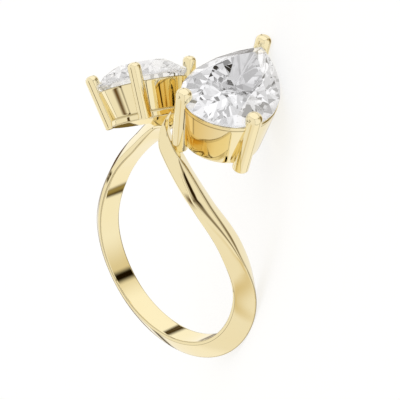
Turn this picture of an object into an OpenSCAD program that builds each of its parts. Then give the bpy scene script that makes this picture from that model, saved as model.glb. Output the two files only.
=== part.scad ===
// Two-stone bypass ring: a round stone and a pear-shaped stone in yellow gold.
// The ring is drawn upright first, with the finger hole along Y, the front at -Y and the
// stones on top, and is then laid on its back, as it rests by itself.

/* [Band] */
// Diameter of the finger hole
bore_d = 16.9; // [15.7:0.2:18.9]
// Width of the band at the bottom, along the finger
band_w = 2.1; // [1.8:0.1:2.6]
// Thickness of the band from the hole to its outer ridge
band_t = 1.8; // [1.5:0.1:2.2]
// Height of the flat side between the hole and the bevels
side_h = 0.3; // [0.2:0.05:0.45]
// Sections along each half of the band
band_steps = 66; // [44:2:88]

/* [Round stone] */
// Diameter of the round stone
round_d = 7.5; // [7.3:0.1:7.6]
// Lean of the round setting from the vertical, in degrees
round_lean = 30.6; // [29:0.5:32]
// Compass direction of that lean, in degrees from +X
round_heading = 159.3; // [156:0.5:162]

/* [Pear stone] */
// Length of the pear stone
pear_l = 12.95; // [12.5:0.05:13.1]
// Width of the pear stone
pear_w = 7.75; // [7.3:0.05:7.9]
// Lean of the pear setting from the vertical, in degrees
pear_lean = 13.5; // [12:0.5:15]
// Compass direction of that lean, in degrees from +X
pear_heading = 7.5; // [5:0.5:10]

/* [Prongs] */
// Thickness of the round setting's prongs
round_prong_d = 1.1; // [1:0.05:1.2]
// Thickness of the pear setting's prongs
pear_prong_d = 1.35; // [1.2:0.05:1.4]
// Clear gap kept between each stone and the metal
stone_gap = 0.06; // [0.04:0.01:0.1]

/* [Hidden] */
$fn = 64;

bore_r = bore_d / 2;
gold = [0.87, 0.73, 0.42];
diamond = [0.90, 0.93, 0.96];

// How the finished ring lies: turned about X, then about Y, onto the edge of its right
// half and the pear setting, and then moved so that it is centred over the origin.
rest_turn_x = -75.37;
rest_turn_y = 29.88;
rest_shift = [-0.20, -4.10, 5.72];

// Path of one half of the band, from its bottom to where its arm leaves the finger hole. The
// first row is a point of the other half, so that the path runs smoothly through the bottom.
// Columns: angle round the hole from +X, rise off the hole's wall, shift to the front,
// twist of the section in degrees, and size as a share of the full section.
ANGLE = 0;
RISE = 1;
FRONT = 2;
TWIST = 3;
SIZE = 4;
ARM = [
  [-130, 0.00, 0.14,  0, 1.00],
  [-90, 0.00,  0.00,  0, 1.00],
  [-50, 0.00, -0.14,  0, 1.00],
  [-10, 0.00,  0.03,  0, 1.00],
  [ 20, 0.00,  1.00, 18, 0.99],
  [ 45, 0.10,  2.01, 17, 0.90],
  [ 64, 0.76,  2.25, 15, 0.83],
];
// Corners of the arm's last sections, which take the place of the path's last row and go on
// up to the arm's end beside the pear setting.
ARM_END = [
  [[3.84, -3.18,  8.05], [3.99, -3.24,  8.24], [4.94, -2.65,  9.37], [4.31, -1.50,  8.64],
    [4.16, -1.43,  8.44]],
  [[1.87, -2.69,  9.31], [1.95, -2.74,  9.52], [3.08, -2.28, 10.07], [2.59, -1.11,  9.56],
    [2.51, -1.06,  9.35]],
  [[0.90, -2.32,  9.90], [1.02, -2.34, 10.06], [1.98, -1.92, 10.60], [1.53, -0.80,  9.87],
    [1.40, -0.78,  9.71]],
  [[0.53, -2.03, 10.59], [0.72, -1.97, 10.71], [1.38, -1.76, 11.15], [0.84, -0.71, 10.34],
    [0.67, -0.71, 10.29]],
  [[0.60, -1.82, 11.37], [0.71, -1.79, 11.46], [1.08, -1.71, 11.77], [0.73, -0.92, 11.11],
    [0.60, -0.92, 11.13]],
  [[1.00, -1.70, 12.22], [1.04, -1.70, 12.26], [1.18, -1.71, 12.43], [1.00, -1.24, 12.05],
    [0.93, -1.24, 12.10]],
  [[1.79, -1.71, 13.26], [1.81, -1.71, 13.28], [1.86, -1.69, 13.36], [1.79, -1.56, 13.24],
    [1.77, -1.56, 13.26]],
];
// The band's inner face is drawn this far inside the finger hole, which then cuts it true.
bore_stock = 0.35;

// A cubic through the rows of a table, at row number u.
function cubic(a, b, c, d, t) =
  b + 0.5 * t * ((c - a) + t * ((2 * a - 5 * b + 4 * c - d) + t * (3 * (b - c) + d - a)));
function row(table, i) = table[max(0, min(len(table) - 1, i))];
function along(table, u) =
  let (i = min(floor(u), len(table) - 2), t = u - i)
  cubic(row(table, i - 1), row(table, i), row(table, i + 1), row(table, i + 2), t);

function unit(v) = v / norm(v);

// Point of the arm's path at row number u: the middle of the inner face.
function path_point(u) =
  let (s = along(ARM, u), r = bore_r + s[RISE])
  [r * cos(s[ANGLE]), -s[FRONT], r * sin(s[ANGLE])];

// One five-cornered section: inner front, front shoulder, ridge, back shoulder, inner back.
function path_section(u) =
  let (
    s = along(ARM, u),
    p = path_point(u),
    tangent = unit(path_point(u + 0.05) - path_point(u - 0.05)),
    y = [0, 1, 0],
    flat_back = unit(y - (y * tangent) * tangent),
    flat_out = cross(flat_back, tangent),
    out = cos(s[TWIST]) * flat_out - sin(s[TWIST]) * flat_back,
    back = cos(s[TWIST]) * flat_back + sin(s[TWIST]) * flat_out,
    half = band_w / 2 * s[SIZE],
    stock = bore_stock * max(0, 1 - s[RISE] / bore_stock)
  )
  [
    p - half * back - stock * out,
    p - half * back + side_h * s[SIZE] * out,
    p + band_t * s[SIZE] * out,
    p + half * back + side_h * s[SIZE] * out,
    p + half * back - stock * out
  ];

// The path's sections and then the arm's end: row i, and the section at row number u.
path_rows = len(ARM) - 1;
last_row = path_rows + len(ARM_END) - 1;
function section_row(i) =
  let (k = min(last_row, i)) k < path_rows ? path_section(k) : ARM_END[k - path_rows];
function section(u) =
  u <= path_rows - 1 ? path_section(u) :
  let (
    i = min(floor(u), last_row - 1),
    a = section_row(i - 1),
    b = section_row(i),
    c = section_row(i + 1),
    d = section_row(i + 2)
  )
  [for (k = [0:4]) cubic(a[k], b[k], c[k], d[k], u - i)];

// A closed solid through sections of equal length, all counted the same way round.
module loft(sections) {
  n = len(sections[0]);
  m = len(sections);
  points = [for (s = sections) each s];
  sides = [
    for (i = [0:m - 2], k = [0:n - 1])
      let (a = i * n + k, b = i * n + (k + 1) % n)
      each [[a, b + n, b], [a, a + n, b + n]]
  ];
  first = [for (k = [0:n - 1]) k];
  last = [for (k = [n - 1:-1:0]) (m - 1) * n + k];
  polyhedron(points, concat(sides, [first], [last]));
}

// The other half's section: the same one, turned half round about the upright axis.
function turned(s) = [for (k = [len(s) - 1:-1:0]) [-s[k].x, -s[k].y, s[k].z]];

// The whole band, from the end of one arm down round the bottom to the end of the other.
module band() {
  half = [for (i = [0:band_steps]) section(1 + i / band_steps * (last_row - 1))];
  other = [for (i = [band_steps:-1:1]) turned(half[i])];
  difference() {
    loft(concat(other, half));
    finger_hole();
  }
}

module finger_hole() {
  rotate([90, 0, 0]) cylinder(r = bore_r, h = 16, center = true, $fn = 128);
}

// Places a setting: its own Z leans by lean towards heading, after a turn about that axis.
module set_at(place, lean, heading, turn) {
  translate(place) rotate([0, lean, heading]) rotate([0, 0, turn]) children();
}

// Sizes of the round setting, measured from the top of its wall.
round_place = [-4.0, 0.4, 13.06];
round_turn = -24.5;
round_wall_foot_z = -2.5;
round_wall_top_r = 3.65;
round_wall_foot_r = 2.90;
round_wall_t = 0.6;
round_plate_foot_z = -3.05;
round_plate_r = 3.25;
round_girdle_z = 0.45;
round_prong_top_r = 4.10;
round_prong_top_z = 1.05;
round_prong_foot_r = 3.20;

// Sizes of the pear setting, measured from the top of its wall.
pear_place = [3.45, 4.01, 14.40];
pear_turn = -68.2;
pear_wall_top_z = -0.2;
pear_wall_foot_z = -4.4;
pear_wall_grow = 0.05;
pear_wall_foot = 0.80;
pear_wall_t = 0.7;
pear_prong_top_z = 0.5;
pear_prong_foot_z = -4.75;
pear_side_prong = [4.95, 2.98];
pear_tip_prong_x = 6.64;
pear_foot_share = 0.88;

// Outline of a pear, its point at -X and its round end at +X, for a turn t from the point.
pear_fullness = 0.8;
pear_norm = 0.8004;
function pear_at(l, w, t) =
  [-l / 2 * cos(t), -w / 2 * sin(t) * pow(abs(sin(t / 2)), pear_fullness) / pear_norm];
function round_at(d, t) = [d / 2 * cos(t), d / 2 * sin(t)];

module pear_outline(l, w) {
  steps = 48;
  polygon([for (k = [0:steps - 1]) pear_at(l, w, (k + 0.5) * 360 / steps)]);
}

// A pear-shaped block between two levels, with its outline scaled at its foot.
module pear_block(grow, top_z, foot_z, foot_share) {
  skin = 0.01;
  hull() {
    translate([0, 0, top_z - skin]) linear_extrude(skin)
      pear_outline(pear_l + 2 * grow, pear_w + 2 * grow);
    translate([0, 0, foot_z]) linear_extrude(skin) scale(foot_share)
      pear_outline(pear_l + 2 * grow, pear_w + 2 * grow);
  }
}

// A round rod between two points with a dome at its upper end.
module prong(foot, tip, d) {
  v = tip - foot;
  lean = acos(v.z / norm(v));
  heading = atan2(v.y, v.x);
  translate(foot) rotate([0, lean, heading]) {
    cylinder(d = d, h = norm(v), $fn = 32);
    translate([0, 0, norm(v)]) sphere(d = d, $fn = 32);
  }
}

module round_setting() {
  difference() {
    union() {
      translate([0, 0, round_wall_foot_z])
        cylinder(r1 = round_wall_foot_r, r2 = round_wall_top_r, h = -round_wall_foot_z);
      translate([0, 0, round_plate_foot_z])
        cylinder(r = round_plate_r, h = round_wall_foot_z - round_plate_foot_z + 0.05);
      for (k = [0:3]) rotate([0, 0, 90 * k])
        prong([round_prong_foot_r, 0, round_plate_foot_z],
          [round_prong_top_r, 0, round_prong_top_z], round_prong_d);
    }
    translate([0, 0, round_wall_foot_z])
      cylinder(r1 = round_wall_foot_r - round_wall_t, r2 = round_wall_top_r - round_wall_t,
        h = -round_wall_foot_z);
    round_seat();
  }
}

// The room that the round stone takes up, with the gap round it.
module round_seat() {
  r = round_d / 2 + stone_gap;
  translate([0, 0, round_girdle_z]) {
    translate([0, 0, -girdle_h / 2 - stone_gap])
      cylinder(r = r, h = girdle_h + 2 * stone_gap);
    translate([0, 0, girdle_h / 2 + stone_gap])
      cylinder(r1 = r, r2 = table_share * r, h = crown_share * round_d);
    translate([0, 0, -girdle_h / 2 - stone_gap - pavilion_share * round_d])
      cylinder(r1 = 0.05, r2 = r, h = pavilion_share * round_d);
  }
}

module pear_setting() {
  difference() {
    union() {
      pear_block(pear_wall_grow, pear_wall_top_z, pear_wall_foot_z, pear_wall_foot);
      for (s = [-1, 1])
        pear_prong([pear_side_prong.x, s * pear_side_prong.y]);
      pear_prong([-pear_tip_prong_x, 0]);
    }
    pear_block(pear_wall_grow - pear_wall_t, 1, pear_wall_foot_z - 1, pear_wall_foot);
    pear_seat();
  }
}

module pear_prong(place) {
  foot = pear_foot_share * place;
  prong([foot.x, foot.y, pear_prong_foot_z], [place.x, place.y, pear_prong_top_z], pear_prong_d);
}

// The room that the pear stone takes up, with the gap round it.
module pear_seat() {
  l = pear_l + 2 * stone_gap;
  w = pear_w + 2 * stone_gap;
  skin = 0.01;
  hull() {
    translate([0, 0, -girdle_h / 2 - stone_gap]) linear_extrude(girdle_h + 2 * stone_gap)
      pear_outline(l, w);
    translate([pear_culet_x, 0, girdle_h / 2 + stone_gap + crown_share * pear_w])
      linear_extrude(skin) scale(table_share) translate([-pear_culet_x, 0])
      pear_outline(l, w);
    translate([pear_culet_x, 0, -girdle_h / 2 - stone_gap - pavilion_share * pear_w])
      cylinder(r = 0.05, h = skin, $fn = 8);
  }
}

// Proportions that both cut stones share, as parts of the stone's width.
table_share = 0.57;
crown_share = 0.155;
pavilion_share = 0.36;
girdle_h = 0.2;
star_share = 0.80;
star_height = 0.56;
lower_share = 0.27;
pear_culet_x = 0.9;

// A brilliant cut over any outline: 8 kites, 8 stars and 16 upper facets over the girdle,
// 16 lower facets and 8 mains under it. rim holds 32 girdle points, and each ring of inner
// corners lies on lines from the centre to them.
module brilliant(rim, width, centre) {
  n = len(rim);
  crown = crown_share * width;
  depth = pavilion_share * width;
  function inner(k, share, z) =
    let (p = rim[k % n]) [centre + share * (p.x - centre), share * p.y, z];
  function at_rim(z) = [for (p = rim) [p.x, p.y, z]];
  table = [for (k = [0:4:n - 1]) inner(k, table_share, girdle_h / 2 + crown)];
  star = [for (k = [2:4:n - 1]) inner(k, star_share, girdle_h / 2 + star_height * crown)];
  lower = [for (k = [2:4:n - 1])
    inner(k, lower_share, -girdle_h / 2 - (1 - lower_share) * 0.98 * depth)];
  points = concat(table, star, at_rim(girdle_h / 2), at_rim(-girdle_h / 2), lower,
    [[centre, 0, -girdle_h / 2 - depth]]);
  t0 = 0;
  s0 = 8;
  g0 = 16;
  h0 = g0 + n;
  l0 = h0 + n;
  culet = l0 + 8;
  crown_faces = [for (j = [0:7])
    let (j1 = (j + 1) % 8, jm = (j + 7) % 8, k = 4 * j)
    each [
      [t0 + j, t0 + j1, s0 + j],
      [t0 + j, g0 + k, s0 + jm],
      [t0 + j, s0 + j, g0 + k],
      [s0 + j, g0 + k + 1, g0 + k],
      [s0 + j, g0 + k + 2, g0 + k + 1],
      [s0 + j, g0 + k + 3, g0 + k + 2],
      [s0 + j, g0 + (k + 4) % n, g0 + k + 3]
    ]];
  girdle_faces = [for (k = [0:n - 1])
    let (k1 = (k + 1) % n)
    each [[g0 + k, h0 + k1, h0 + k], [g0 + k, g0 + k1, h0 + k1]]];
  pavilion_faces = [for (j = [0:7])
    let (jm = (j + 7) % 8, k = 4 * j)
    each [
      [l0 + j, h0 + k, h0 + k + 1],
      [l0 + j, h0 + k + 1, h0 + k + 2],
      [l0 + j, h0 + k + 2, h0 + k + 3],
      [l0 + j, h0 + k + 3, h0 + (k + 4) % n],
      [culet, h0 + k, l0 + j],
      [culet, l0 + jm, h0 + k]
    ]];
  table_face = [for (j = [7:-1:0]) t0 + j];
  polyhedron(points, concat([table_face], crown_faces, girdle_faces, pavilion_faces));
}

// Lays the upright ring down as it rests by itself.
module at_rest() {
  translate(rest_shift) rotate([0, rest_turn_y, 0]) rotate([rest_turn_x, 0, 0])
    children();
}

module ring_metal() {
  color(gold) at_rest() {
    difference() {
      union() {
        band();
        set_at(round_place, round_lean, round_heading, round_turn) round_setting();
        set_at(pear_place, pear_lean, pear_heading, pear_turn) pear_setting();
      }
      set_at(round_place, round_lean, round_heading, round_turn) round_seat();
      set_at(pear_place, pear_lean, pear_heading, pear_turn) pear_seat();
    }
  }
}

module round_stone() {
  color(diamond) at_rest()
    set_at(round_place, round_lean, round_heading, round_turn)
    translate([0, 0, round_girdle_z])
    brilliant([for (k = [0:31]) round_at(round_d, k * 360 / 32)], round_d, 0);
}

module pear_stone() {
  color(diamond) at_rest()
    set_at(pear_place, pear_lean, pear_heading, pear_turn)
    brilliant([for (k = [0:31]) pear_at(pear_l, pear_w, k * 360 / 32)], pear_w, pear_culet_x);
}

ring_metal();
round_stone();
pear_stone();
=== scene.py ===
"""Looks of a two-stone bypass ring: a round and a pear-shaped stone in polished yellow gold.

Shapes are worked out in millimetres on the upright ring, with the finger hole along Y, the
front at -Y and the stones on top. Rest then lays them down in the frame's metres.
"""

import logging
import math
from dataclasses import dataclass, field
from enum import Enum

import bpy
import numpy as np
from mathutils import Matrix


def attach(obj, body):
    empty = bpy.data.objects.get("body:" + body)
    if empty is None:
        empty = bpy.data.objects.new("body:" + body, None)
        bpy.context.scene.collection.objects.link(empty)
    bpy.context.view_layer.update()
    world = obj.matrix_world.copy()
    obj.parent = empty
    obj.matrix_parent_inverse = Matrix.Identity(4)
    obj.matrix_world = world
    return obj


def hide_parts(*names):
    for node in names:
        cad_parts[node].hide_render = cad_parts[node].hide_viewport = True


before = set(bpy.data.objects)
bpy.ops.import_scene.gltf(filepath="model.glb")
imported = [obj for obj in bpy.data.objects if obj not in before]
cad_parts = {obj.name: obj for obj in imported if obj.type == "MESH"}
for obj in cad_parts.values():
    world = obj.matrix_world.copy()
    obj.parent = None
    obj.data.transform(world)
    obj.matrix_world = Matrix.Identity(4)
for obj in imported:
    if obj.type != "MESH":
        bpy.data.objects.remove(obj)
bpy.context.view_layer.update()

Array = np.ndarray
Triple = tuple[float, float, float]
Colour = tuple[float, float, float, float]
Socket = bpy.types.NodeSocket
MM = 0.001
BODY = "root"
log = logging.getLogger("ring")


def unit(v: Array) -> Array:
    """Rows of v scaled to length one."""
    return v / np.linalg.norm(v, axis=-1, keepdims=True)


def crowded(count: int) -> Array:
    """Shares that cut an edge in count places, closer near its ends: 0.5 - 0.5 cos(pi s)."""
    return 0.5 - 0.5 * np.cos(np.pi * np.linspace(0, 1, count + 2)[1:-1])


def hump(count: int) -> Array:
    """Numbers that rise from 0 to 1 and fall again across a rounded corner's points."""
    return np.sin(np.linspace(0, np.pi, count))


def turn_about(axis: str, degrees: float) -> Array:
    """Matrix of a turn about one axis.

    Args:
        axis: "x", "y" or "z".
        degrees: the turn, right-handed.

    Returns:
        A 3 by 3 matrix.
    """
    c, s = math.cos(math.radians(degrees)), math.sin(math.radians(degrees))
    rows = {
        "x": [[1, 0, 0], [0, c, -s], [0, s, c]],
        "y": [[c, 0, s], [0, 1, 0], [-s, 0, c]],
        "z": [[c, -s, 0], [s, c, 0], [0, 0, 1]],
    }
    return np.array(rows[axis], float)


def facing(compass: float, height: float) -> Array:
    """Level, upward and outward axes as columns, for angles from the front and the level."""
    return turn_about("z", compass) @ turn_about("x", 90 - height)


@dataclass(frozen=True)
class Rest:
    """How the upright ring lies as it rests by itself: turned about X, then Y, then moved."""

    turn_x: float = -75.37
    turn_y: float = 29.88
    shift: Triple = (-0.20, -4.10, 5.72)

    def turn(self) -> Array:
        """The matrix of both turns."""
        return turn_about("y", self.turn_y) @ turn_about("x", self.turn_x)

    def lay(self, points: Array) -> Array:
        """Upright millimetres to the frame's metres."""
        return (points @ self.turn().T + np.array(self.shift)) * MM


REST = Rest()


@dataclass
class Skin:
    """A surface in the making.

    Attributes:
        points: places in upright millimetres, one row each.
        faces: arrays of point numbers, one row a face, counted so that faces look outwards.
        marks: named numbers from 0 to 1, one for each point, that the finishes read.
    """

    points: Array
    faces: list[Array]
    marks: dict[str, Array] = field(default_factory=dict)

    def mark(self, name: str) -> Array:
        """The named mark, or zeros where this skin has none."""
        return self.marks.get(name, np.zeros(len(self.points)))


def joined(skins: list[Skin]) -> Skin:
    """One skin of several that stay apart as shells.

    Args:
        skins: the shells.

    Returns:
        All of their points, faces and marks.
    """
    starts = np.cumsum([0] + [len(s.points) for s in skins[:-1]])
    names = sorted({name for s in skins for name in s.marks})
    return Skin(
        np.concatenate([s.points for s in skins]),
        [f + start for s, start in zip(skins, starts) for f in s.faces],
        {name: np.concatenate([s.mark(name) for s in skins]) for name in names},
    )


def make_piece(name: str, skin: Skin, smooth: bool = True) -> bpy.types.Object:
    """Puts a skin into a new mesh object at the origin, laid down and in metres.

    Args:
        name: the piece's name.
        skin: its surface.
        smooth: whether its faces are shaded smooth.

    Returns:
        The new object, linked to the scene.
    """
    mesh = bpy.data.meshes.new(name)
    faces = [row for f in skin.faces for row in f.tolist()]
    mesh.from_pydata(REST.lay(skin.points).tolist(), [], faces)
    mesh.polygons.foreach_set("use_smooth", np.full(len(faces), smooth))
    for mark, values in skin.marks.items():
        layer = mesh.attributes.new(mark, "FLOAT", "POINT")
        layer.data.foreach_set("value", values.astype(np.float32))
    mesh.update()
    piece = bpy.data.objects.new(name, mesh)
    bpy.context.scene.collection.objects.link(piece)
    return piece


def rounded(corners: Array, radii: Array, closed: bool, arc: int, spans: int) -> Array:
    """Rounds the corners of polylines and divides their edges.

    A corner C gives way to the parabola (1-t)^2 P + 2t(1-t) C + t^2 Q. P and Q lie on its two
    edges, the corner's radius over the tangent of half its angle away from C, or 0.45 of the
    shorter edge where that is less. The edges between are cut at crowded shares.

    Args:
        corners: any leading axes, then corners, then coordinates.
        radii: one radius for each corner.
        closed: whether the last corner joins the first.
        arc: points on each rounded corner.
        spans: cuts on each edge.

    Returns:
        The same leading axes, then points, then coordinates.
    """
    to_last = np.roll(corners, 1, axis=-2) - corners
    to_next = np.roll(corners, -1, axis=-2) - corners
    last_len = np.linalg.norm(to_last, axis=-1)
    next_len = np.linalg.norm(to_next, axis=-1)
    a, b = to_last / last_len[..., None], to_next / next_len[..., None]
    half = 0.5 * np.arccos(np.clip((a * b).sum(-1), -1, 1))
    reach = np.minimum(radii / np.tan(half), 0.45 * np.minimum(last_len, next_len))
    if not closed:
        reach[..., 0] = reach[..., -1] = 0
    p, q = corners + a * reach[..., None], corners + b * reach[..., None]
    t, s = np.linspace(0, 1, arc)[:, None], crowded(spans)[:, None]
    bend = (
        (1 - t) ** 2 * p[..., None, :]
        + 2 * t * (1 - t) * corners[..., None, :]
        + t**2 * q[..., None, :]
    )
    edge = q[..., None, :] * (1 - s) + np.roll(p, -1, axis=-2)[..., None, :] * s
    line = np.concatenate([bend, edge], axis=-2)
    line = line.reshape(*line.shape[:-3], -1, line.shape[-1])
    if closed:
        return line
    return line[..., arc - 1 : line.shape[-2] - spans - arc + 1, :]


def tube(rings: Array, first: Array | None = None, last: Array | None = None) -> Skin:
    """A closed skin over rings of equal length, with a pole at each end.

    Args:
        rings: rows of rings, points round each, coordinates. Seen from the last ring, the
            points run anticlockwise.
        first: the pole that closes the first ring, or None for its middle.
        last: the pole that closes the last ring, or None for its middle.

    Returns:
        The skin, without marks.
    """
    m, n = rings.shape[:2]
    first = rings[0].mean(0) if first is None else first
    last = rings[-1].mean(0) if last is None else last
    here = np.arange(m * n).reshape(m, n)
    after = np.roll(here, -1, axis=1)
    sides = np.stack([here[:-1], after[:-1], after[1:], here[1:]], axis=-1)
    foot = np.stack([np.full(n, m * n), after[0], here[0]], axis=-1)
    head = np.stack([np.full(n, m * n + 1), here[-1], after[-1]], axis=-1)
    points = np.concatenate([rings.reshape(-1, 3), first[None], last[None]])
    return Skin(points, [sides.reshape(-1, 4), foot, head])


@dataclass(frozen=True)
class Placing:
    """Where a setting stands: its own Z leans by lean towards heading, after its own turn."""

    place: Triple
    lean: float
    heading: float
    turn: float

    def put(self, points: Array) -> Array:
        """A setting's own millimetres to the upright ring's."""
        leant = turn_about("z", self.heading) @ turn_about("y", self.lean)
        return points @ (leant @ turn_about("z", self.turn)).T + np.array(self.place)


class Cut(Enum):
    """The outline that a stone is cut to."""

    ROUND = "round"
    PEAR = "pear"


@dataclass(frozen=True)
class Outline:
    """A stone's outline seen from above, its point at -X and its round end at +X.

    A pear of length l and width w has the place (-l/2 cos t, -w/2 sin t |sin(t/2)|^0.8 / k)
    at the turn t from its point, where k makes w its greatest width.
    """

    cut: Cut
    length: float
    width: float

    FULLNESS = 0.8
    NORM = 0.8004
    FINE = 2881

    def at(self, t: Array, grow: float = 0.0) -> Array:
        """Places on the outline made larger all round.

        Args:
            t: turns in radians.
            grow: how much larger it is made.

        Returns:
            One place, x and y, for each turn.
        """
        length, width = self.length + 2 * grow, self.width + 2 * grow
        if self.cut is Cut.ROUND:
            return np.stack([length / 2 * np.cos(t), width / 2 * np.sin(t)], axis=-1)
        y = np.sin(t) * np.abs(np.sin(t / 2)) ** self.FULLNESS / self.NORM
        return np.stack([-length / 2 * np.cos(t), -width / 2 * y], axis=-1)

    def reach(self, heading: Array, centre: float, grow: float, share: float = 1.0) -> Array:
        """Distance from a centre on X to the outline, along given headings.

        The outline is grown, then scaled about the origin. A fine polyline of it is turned
        into headings and distances from the centre, and read between them.

        Args:
            heading: directions in radians.
            centre: x of the centre.
            grow: how much larger the outline is, all round.
            share: how it is scaled.

        Returns:
            One distance for each heading.
        """
        p = share * self.at(np.linspace(0, 2 * np.pi, self.FINE), grow)
        x, y = p[:, 0] - centre, p[:, 1]
        angles, far = np.arctan2(y, x), np.hypot(x, y)
        order = np.argsort(angles)
        return np.interp(heading, angles[order], far[order], period=2 * np.pi)


@dataclass(frozen=True)
class Brilliant:
    """A brilliant cut on any outline, with every facet a true plane.

    Eight girdle places carry a kite above and a main below. A kite's plane holds its girdle
    place, the outline's direction there and its table corner. Neighbouring kites cross in a
    line, and the star's corner is the point of it at a given height. An upper facet is the
    plane through a star's corner, a kite's girdle place and the place halfway to the next
    one. It meets the girdle's wall in a shallow scallop. The pavilion is made the same way,
    with the culet for its table.
    """

    outline: Outline
    centre: float
    girdle_z: float
    girdle_h: float = 0.2
    table_share: float = 0.57
    crown_share: float = 0.155
    pavilion_share: float = 0.36
    star_height: float = 0.50
    lower_height: float = 0.76
    fine: int = 8

    STEP = 1e-4

    def half(
        self, up: float, depth: float, inner: float, level: float
    ) -> tuple[Array, Array, Array]:
        """Corners and rim of the crown or the pavilion.

        Args:
            up: 1 for the crown, -1 for the pavilion.
            depth: its height.
            inner: scale of its table, 0 for a culet.
            level: height of the crossing corners as a share of depth.

        Returns:
            The eight inner corners, the eight crossing corners, and the rim's places, fine
            steps for each half of a kite.
        """
        turns = np.arange(8) * np.pi / 4
        at, near = self.outline.at(turns), self.outline.at(turns + self.STEP)
        along = unit(near - self.outline.at(turns - self.STEP))
        foot = np.column_stack([at, np.zeros(8)])
        middle = np.array([self.centre, 0.0])
        corner = np.column_stack([middle + inner * (at - middle), np.full(8, depth)])
        normal = np.cross(np.column_stack([along, np.zeros(8)]), corner - foot)
        offset = (normal * foot).sum(-1)
        upright = np.broadcast_to([0.0, 0.0, 1.0], (8, 3))
        planes = np.stack([normal, np.roll(normal, -1, axis=0), upright], axis=1)
        sides = np.stack([offset, np.roll(offset, -1), np.full(8, level * depth)], axis=1)
        cross = np.linalg.solve(planes, sides[..., None])[..., 0]
        rim = self.outline.at(np.arange(16 * self.fine) * np.pi / (8 * self.fine))
        knots = np.column_stack([rim[:: self.fine], np.zeros(16)])
        tip = np.repeat(cross, 2, axis=0)
        face = np.cross(knots - tip, np.roll(knots, -1, axis=0) - tip)
        face, tip = np.repeat(face, self.fine, axis=0), np.repeat(tip, self.fine, axis=0)
        z = tip[:, 2] - ((rim - tip[:, :2]) * face[:, :2]).sum(-1) / face[:, 2]
        rim3 = np.column_stack([rim, np.where(np.arange(len(rim)) % self.fine, z, 0.0)])
        base = np.array([0, 0, self.girdle_z + up * self.girdle_h / 2])
        flip = np.array([1, 1, up])
        return corner * flip + base, cross * flip + base, rim3 * flip + base

    def skin(self) -> Skin:
        """The whole stone, in its setting's own millimetres.

        Returns:
            Its skin, with the girdle marked.
        """
        crown, pavilion = (
            share * self.outline.width for share in (self.crown_share, self.pavilion_share)
        )
        table, star, top = self.half(1, crown, self.table_share, self.star_height)
        culet, low, bottom = self.half(-1, pavilion, 0.0, self.lower_height)
        n = len(top)
        points = np.concatenate([table, star, top, bottom, low, culet[:1]])
        # Numbers of the first table, star, upper rim, lower rim, low and culet points.
        t0, s0, g0, h0, l0, c0 = 0, 8, 16, 16 + n, 16 + 2 * n, 24 + 2 * n
        j, i = np.arange(8), np.arange(n)
        j1, jm, i1 = (j + 1) % 8, (j - 1) % 8, (i + 1) % n
        k, step = 2 * self.fine * j, np.arange(self.fine + 1)
        first, second = (k[:, None] + step) % n, (k[:, None] + self.fine + step) % n
        faces = [
            j[None],
            np.stack([t0 + j, s0 + j, t0 + j1], axis=1),
            np.stack([t0 + j, s0 + jm, g0 + k, s0 + j], axis=1),
            np.column_stack([s0 + j, g0 + first]),
            np.column_stack([s0 + j, g0 + second]),
            np.column_stack([l0 + j, (h0 + first)[:, ::-1]]),
            np.column_stack([l0 + j, (h0 + second)[:, ::-1]]),
            np.stack([np.full(8, c0), l0 + j, h0 + k, l0 + jm], axis=1),
            np.stack([g0 + i, h0 + i, h0 + i1, g0 + i1], axis=1),
        ]
        bruted = np.zeros(len(points))
        bruted[g0 : h0 + n] = 1.0
        return Skin(points, faces, {"girdle": bruted})

    def room(self, heading: Array, z: Array, gap: float) -> Array:
        """Distance from the stone's middle to the edge of the room it takes up in the metal.

        The room is the outline grown by gap at the girdle. It narrows in straight lines to
        the table above and the culet below, and is nothing beyond them.

        Args:
            heading: directions from the stone's middle, in radians.
            z: heights in the setting.
            gap: the gap kept round the stone.

        Returns:
            One distance for each place.
        """
        full = self.outline.reach(heading, self.centre, gap)
        width, half_h = self.outline.width, self.girdle_h / 2 + gap
        above = (z - self.girdle_z - half_h) / (self.crown_share * width)
        below = (self.girdle_z - half_h - z) / (self.pavilion_share * width)
        share = np.where(above > 0, 1 - (1 - self.table_share) * above, 1 - below)
        share = np.where((above > 1) | (below > 1), 0, np.minimum(share, 1))
        return full * share

    def carve(self, points: Array, gap: float) -> Array:
        """Moves the points that lie in the stone's room straight out to its edge.

        Args:
            points: places in the setting.
            gap: the gap kept round the stone.

        Returns:
            The moved places.
        """
        x, y = points[..., 0] - self.centre, points[..., 1]
        heading, far = np.arctan2(y, x), np.hypot(x, y)
        free = np.maximum(far, self.room(heading, points[..., 2], gap))
        out = points.copy()
        out[..., 0] = self.centre + free * np.cos(heading)
        out[..., 1] = free * np.sin(heading)
        return out


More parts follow.
